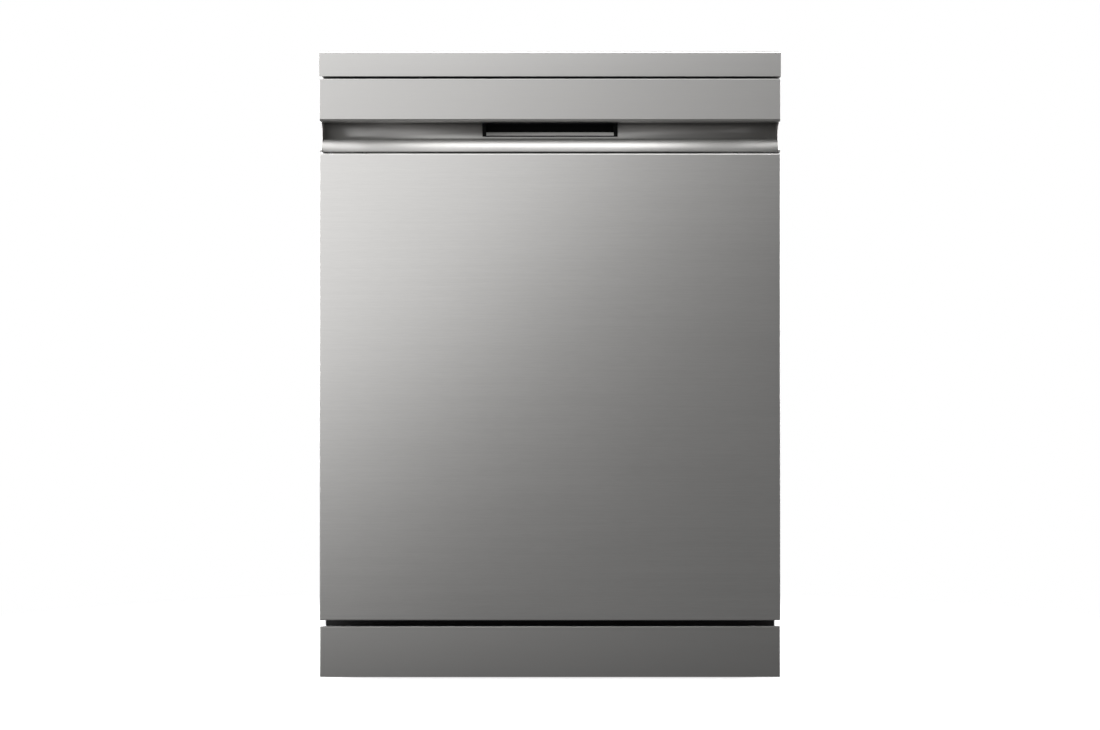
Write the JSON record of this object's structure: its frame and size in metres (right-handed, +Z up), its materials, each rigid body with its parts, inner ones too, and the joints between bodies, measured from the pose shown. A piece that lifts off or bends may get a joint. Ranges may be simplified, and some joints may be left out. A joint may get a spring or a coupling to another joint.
{
  "type": "built in dishwasher",
  "caption": "Built-under dishwasher with a brushed steel drop-down door, recessed handle, wash tub, sliding racks, spray arms, dispenser, pumps and levelling feet.",
  "frame": {"origin": "centre of the footprint on the floor, under the levelling feet", "axes": "+Z up, the door faces -Y, +X to the right of someone standing in front"},
  "size_m": [0.6, 0.573, 0.815],
  "materials": {
    "brushed_front": "horizontal fine brushed",
    "stainless_inner": "satin stainless sheet",
    "zinc_sheet": "galvanised sheet",
    "black_plastic": "fine moulded texture",
    "grey_plastic": "satin moulded",
    "button_steel": "satin",
    "coated_wire": "nylon coated wire",
    "seal_rubber": "matte",
    "smoked_window": "smoked clear"
  },
  "bodies": {
    "cabinet": {"top_front_trim": "brushed_front", "plinth_panel": "brushed_front", "wash_tub": "stainless_inner", "filter_plate": "stainless_inner", "upper_rails": "stainless_inner", "door_keeper": "stainless_inner", "top_cover": "zinc_sheet", "side_panel_left": "zinc_sheet", "side_panel_right": "zinc_sheet", "rear_panel": "zinc_sheet", "worktop_brackets": "zinc_sheet", "casing_screws": "zinc_sheet", "hinge_brackets": "zinc_sheet", "hinge_springs": "zinc_sheet", "base_pan": "black_plastic", "sump": "black_plastic", "heater_pump": "black_plastic", "drain_pump": "black_plastic", "inlet_valve": "black_plastic", "power_inlet": "black_plastic", "lower_spray_hub": "grey_plastic", "feed_pipe": "grey_plastic", "drain_outlet": "grey_plastic", "side_water_tank": "grey_plastic", "softener": "grey_plastic", "tub_gasket": "seal_rubber"},
    "door": {"door_outer_panel": "brushed_front", "door_fascia": "brushed_front", "handle_recess": "brushed_front", "recess_end_caps": "brushed_front", "grip_cup": "black_plastic", "door_inner_liner": "stainless_inner", "control_strip": "black_plastic", "display_window": "smoked_window", "control_module": "black_plastic", "hinge_arms": "zinc_sheet", "dispenser_body": "grey_plastic"},
    "latch_jaw": {"latch_jaw": "black_plastic"},
    "dispenser_lid": {"dispenser_lid": "grey_plastic"},
    "rinse_aid_cap": {"rinse_aid_cap": "grey_plastic"},
    "button_power": {"button_power": "button_steel"},
    "button_program": {"button_program": "button_steel"},
    "button_start": {"button_start": "button_steel"},
    "lower_rack": {"lower_rack": "coated_wire"},
    "wheels_front": {"wheels_front": "grey_plastic"},
    "wheels_rear": {"wheels_rear": "grey_plastic"},
    "folding_tines": {"folding_tines": "coated_wire"},
    "cutlery_basket": {"cutlery_basket": "grey_plastic"},
    "upper_rack": {"upper_rack": "coated_wire", "upper_feed_tube": "grey_plastic"},
    "rail_sliders": {"rail_sliders": "stainless_inner"},
    "cup_shelf": {"cup_shelf": "grey_plastic"},
    "upper_spray_arm": {"upper_spray_arm": "grey_plastic"},
    "lower_spray_arm": {"lower_spray_arm": "grey_plastic"},
    "filter_cylinder": {"filter_cylinder": "grey_plastic"},
    "salt_cap": {"salt_cap": "grey_plastic"},
    "foot_front_left": {"foot_front_left": "black_plastic"},
    "foot_front_right": {"foot_front_right": "black_plastic"},
    "foot_rear_left": {"foot_rear_left": "black_plastic"},
    "foot_rear_right": {"foot_rear_right": "black_plastic"}
  },
  "joints": [
    {"name": "door_hinge", "type": "hinge", "parent": "cabinet", "child": "door", "pos_m": [0, -0.262, 0.13], "axis": [1, 0, 0], "range_deg": [0, 90], "stiffness_Nm_per_rad": 20},
    {"name": "upper_rack_slide", "type": "slide", "parent": "cabinet", "child": "upper_rack", "axis": [0, -1, 0], "range_m": [0, 0.45]},
    {"name": "rail_slider_slide", "type": "slide", "parent": "cabinet", "child": "rail_sliders", "axis": [0, -1, 0], "range_m": [0, 0.225]},
    {"name": "lower_rack_slide", "type": "slide", "parent": "cabinet", "child": "lower_rack", "axis": [0, -1, 0], "range_m": [0, 0.14]},
    {"name": "front_wheels_spin", "type": "hinge", "parent": "lower_rack", "child": "wheels_front", "pos_m": [0, -0.133, 0.1749], "axis": [1, 0, 0], "continuous": true},
    {"name": "rear_wheels_spin", "type": "hinge", "parent": "lower_rack", "child": "wheels_rear", "pos_m": [0, 0.172, 0.1749], "axis": [1, 0, 0], "continuous": true},
    {"name": "tines_fold", "type": "hinge", "parent": "lower_rack", "child": "folding_tines", "pos_m": [0, -0.0435, 0.1966], "axis": [-1, 0, 0], "range_deg": [0, 88]},
    {"name": "cutlery_basket_lift", "type": "slide", "parent": "lower_rack", "child": "cutlery_basket", "axis": [0, 0, 1], "range_m": [0, 0.045]},
    {"name": "cup_shelf_fold", "type": "hinge", "parent": "upper_rack", "child": "cup_shelf", "pos_m": [-0.219, 0, 0.602], "axis": [0, -1, 0], "range_deg": [0, 85]},
    {"name": "upper_arm_spin", "type": "hinge", "parent": "upper_rack", "child": "upper_spray_arm", "pos_m": [0, 0.0165, 0.45], "axis": [0, 0, 1], "continuous": true},
    {"name": "lower_arm_spin", "type": "hinge", "parent": "cabinet", "child": "lower_spray_arm", "pos_m": [0, 0.0165, 0.167], "axis": [0, 0, 1], "continuous": true},
    {"name": "filter_turn", "type": "hinge", "parent": "cabinet", "child": "filter_cylinder", "pos_m": [0.095, -0.0535, 0.13], "axis": [0, 0, 1], "range_deg": [0, 90]},
    {"name": "salt_cap_turn", "type": "hinge", "parent": "cabinet", "child": "salt_cap", "pos_m": [-0.15, -0.0435, 0.138], "axis": [0, 0, 1], "range_deg": [0, 360]},
    {"name": "dispenser_lid_slide", "type": "slide", "parent": "door", "child": "dispenser_lid", "axis": [0, 0, -1], "range_m": [0, 0.086]},
    {"name": "rinse_aid_cap_turn", "type": "hinge", "parent": "door", "child": "rinse_aid_cap", "pos_m": [0.141, -0.228, 0.544], "axis": [0, 1, 0], "range_deg": [0, 90]},
    {"name": "latch_jaw_pivot", "type": "hinge", "parent": "door", "child": "latch_jaw", "pos_m": [0, -0.265, 0.7621], "axis": [-1, 0, 0], "range_deg": [0, 12], "stiffness_Nm_per_rad": 0.5},
    {"name": "button_power_press", "type": "slide", "parent": "door", "child": "button_power", "axis": [0, 0, -1], "range_m": [0, 0.001], "stiffness_N_per_m": 1500},
    {"name": "button_program_press", "type": "slide", "parent": "door", "child": "button_program", "axis": [0, 0, -1], "range_m": [0, 0.001], "stiffness_N_per_m": 1500},
    {"name": "button_start_press", "type": "slide", "parent": "door", "child": "button_start", "axis": [0, 0, -1], "range_m": [0, 0.001], "stiffness_N_per_m": 1500},
    {"name": "foot_front_left_adjust", "type": "slide", "parent": "cabinet", "child": "foot_front_left", "axis": [0, 0, 1], "range_m": [-0.03, 0]},
    {"name": "foot_front_right_adjust", "type": "slide", "parent": "cabinet", "child": "foot_front_right", "axis": [0, 0, 1], "range_m": [-0.03, 0]},
    {"name": "foot_rear_left_adjust", "type": "slide", "parent": "cabinet", "child": "foot_rear_left", "axis": [0, 0, 1], "range_m": [-0.03, 0]},
    {"name": "foot_rear_right_adjust", "type": "slide", "parent": "cabinet", "child": "foot_rear_right", "axis": [0, 0, 1], "range_m": [-0.03, 0]}
  ],
  "couplings": [
    {"joint": "upper_rack_slide", "follows": "door_hinge", "m_per_rad": 0.2864},
    {"joint": "rail_slider_slide", "follows": "door_hinge", "m_per_rad": 0.1432},
    {"joint": "lower_rack_slide", "follows": "door_hinge", "m_per_rad": 0.089},
    {"joint": "front_wheels_spin", "follows": "door_hinge", "ratio": 4.9444},
    {"joint": "rear_wheels_spin", "follows": "door_hinge", "ratio": 4.9444}
  ]
}
